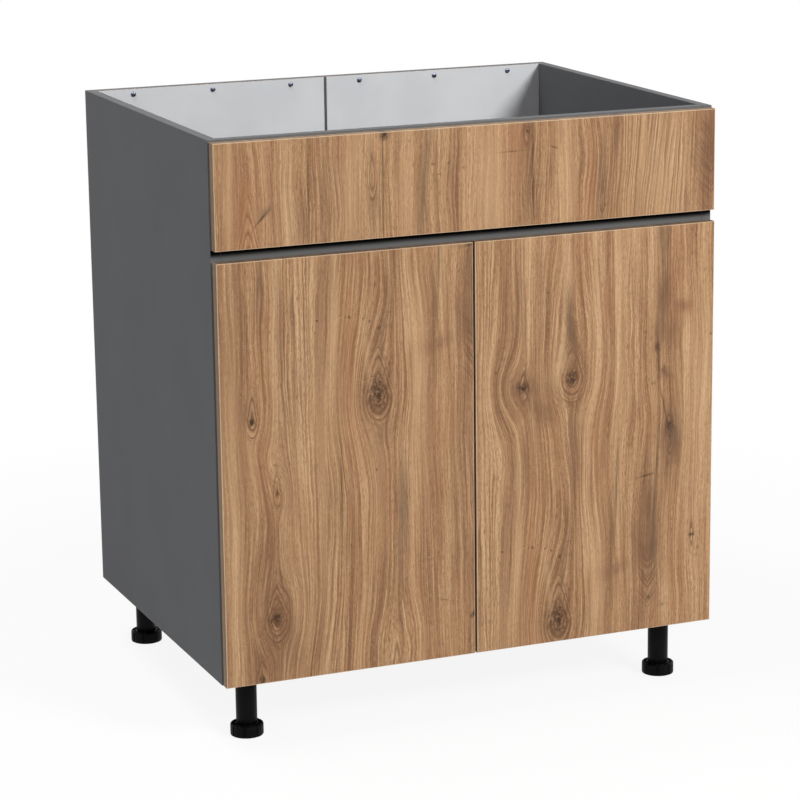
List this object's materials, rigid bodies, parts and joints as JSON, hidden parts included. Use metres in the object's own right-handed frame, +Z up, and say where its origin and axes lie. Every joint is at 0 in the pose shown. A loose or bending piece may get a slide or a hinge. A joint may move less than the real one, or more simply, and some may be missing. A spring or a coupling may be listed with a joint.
{
  "type": "sink base cabinet",
  "caption": "Kitchen sink base cabinet, open on top for the sink: fixed false front over a grip slot, handleless double doors on concealed hinges, screw-adjustable legs.",
  "frame": {"origin": "floor level, under the middle of the cabinet's overall width and depth", "axes": "+X to the right as seen from the front, +Y from the doors towards the wall, +Z up"},
  "size_m": [0.8, 0.6176, 0.905],
  "materials": {
    "anthracite_board": "melamine-faced particle board, fine matt grain",
    "oak_decor": "melamine-faced particle board, knotty oak decor, matt",
    "white_board": "thin hardboard, smooth white lacquer",
    "dark_strip": "satin extruded plastic",
    "nickel": "nickel-plated pressed steel",
    "zinc": "die-cast zinc, satin",
    "black_plastic": "black moulded plastic, fine satin grain"
  },
  "bodies": {
    "carcass": {"back_joint_strip": "dark_strip", "back_panel_left": "white_board", "back_panel_right": "white_board", "back_screw_left_1": "nickel", "back_screw_left_2": "nickel", "back_screw_left_3": "nickel", "back_screw_right_1": "nickel", "back_screw_right_2": "nickel", "back_screw_right_3": "nickel", "bottom_panel": "anthracite_board", "cam_fitting_bottom_front_left": "zinc", "cam_fitting_bottom_front_right": "zinc", "cam_fitting_bottom_rear_left": "zinc", "cam_fitting_bottom_rear_right": "zinc", "cam_fitting_front_rail_left": "zinc", "cam_fitting_front_rail_right": "zinc", "cam_fitting_rear_rail_left": "zinc", "cam_fitting_rear_rail_right": "zinc", "false_front": "oak_decor", "front_rail": "anthracite_board", "hinge_arm_lower_left": "nickel", "hinge_arm_lower_right": "nickel", "hinge_arm_upper_left": "nickel", "hinge_arm_upper_right": "nickel", "hinge_plate_lower_left": "nickel", "hinge_plate_lower_right": "nickel", "hinge_plate_upper_left": "nickel", "hinge_plate_upper_right": "nickel", "leg_socket_front_left": "black_plastic", "leg_socket_front_right": "black_plastic", "leg_socket_rear_left": "black_plastic", "leg_socket_rear_right": "black_plastic", "leg_tube_front_left": "black_plastic", "leg_tube_front_right": "black_plastic", "leg_tube_rear_left": "black_plastic", "leg_tube_rear_right": "black_plastic", "rear_rail": "anthracite_board", "side_panel_left": "anthracite_board", "side_panel_right": "anthracite_board"},
    "door_left": {"door_left": "oak_decor", "hinge_cup_lower_left": "nickel", "hinge_cup_upper_left": "nickel"},
    "outer_links_left": {"outer_link_lower_left": "nickel", "outer_link_upper_left": "nickel"},
    "inner_links_left": {"inner_link_lower_left": "nickel", "inner_link_upper_left": "nickel"},
    "door_right": {"door_right": "oak_decor", "hinge_cup_lower_right": "nickel", "hinge_cup_upper_right": "nickel"},
    "outer_links_right": {"outer_link_lower_right": "nickel", "outer_link_upper_right": "nickel"},
    "inner_links_right": {"inner_link_lower_right": "nickel", "inner_link_upper_right": "nickel"},
    "foot_front_left": {"foot_front_left": "black_plastic"},
    "foot_rear_left": {"foot_rear_left": "black_plastic"},
    "foot_front_right": {"foot_front_right": "black_plastic"},
    "foot_rear_right": {"foot_rear_right": "black_plastic"}
  },
  "joints": [
    {"name": "door_left_swing", "type": "hinge", "parent": "outer_links_left", "child": "door_left", "pos_m": [-0.3898, -0.29455, 0.4155], "axis": [0, 0, -1], "range_deg": [0, 129.5]},
    {"name": "outer_links_left_turn", "type": "hinge", "parent": "carcass", "child": "outer_links_left", "pos_m": [-0.364, -0.28695, 0.4155], "axis": [0, 0, 1], "range_deg": [0, 34.5]},
    {"name": "inner_links_left_turn", "type": "hinge", "parent": "carcass", "child": "inner_links_left", "pos_m": [-0.375, -0.29575, 0.4155], "axis": [0, 0, 1], "range_deg": [0, 51]},
    {"name": "door_right_swing", "type": "hinge", "parent": "outer_links_right", "child": "door_right", "pos_m": [0.3898, -0.29455, 0.4155], "axis": [0, 0, 1], "range_deg": [0, 129.5]},
    {"name": "outer_links_right_turn", "type": "hinge", "parent": "carcass", "child": "outer_links_right", "pos_m": [0.364, -0.28695, 0.4155], "axis": [0, 0, -1], "range_deg": [0, 34.5]},
    {"name": "inner_links_right_turn", "type": "hinge", "parent": "carcass", "child": "inner_links_right", "pos_m": [0.375, -0.29575, 0.4155], "axis": [0, 0, -1], "range_deg": [0, 51]},
    {"name": "foot_front_left_screw", "type": "slide", "parent": "carcass", "child": "foot_front_left", "axis": [0, 0, -1], "range_m": [0, 0.025]},
    {"name": "foot_rear_left_screw", "type": "slide", "parent": "carcass", "child": "foot_rear_left", "axis": [0, 0, -1], "range_m": [0, 0.025]},
    {"name": "foot_front_right_screw", "type": "slide", "parent": "carcass", "child": "foot_front_right", "axis": [0, 0, -1], "range_m": [0, 0.025]},
    {"name": "foot_rear_right_screw", "type": "slide", "parent": "carcass", "child": "foot_rear_right", "axis": [0, 0, -1], "range_m": [0, 0.025]}
  ],
  "couplings": [
    {"joint": "outer_links_left_turn", "follows": "door_left_swing", "ratio": 0.2664},
    {"joint": "inner_links_left_turn", "follows": "door_left_swing", "ratio": 0.3938},
    {"joint": "outer_links_right_turn", "follows": "door_right_swing", "ratio": 0.2664},
    {"joint": "inner_links_right_turn", "follows": "door_right_swing", "ratio": 0.3938}
  ]
}
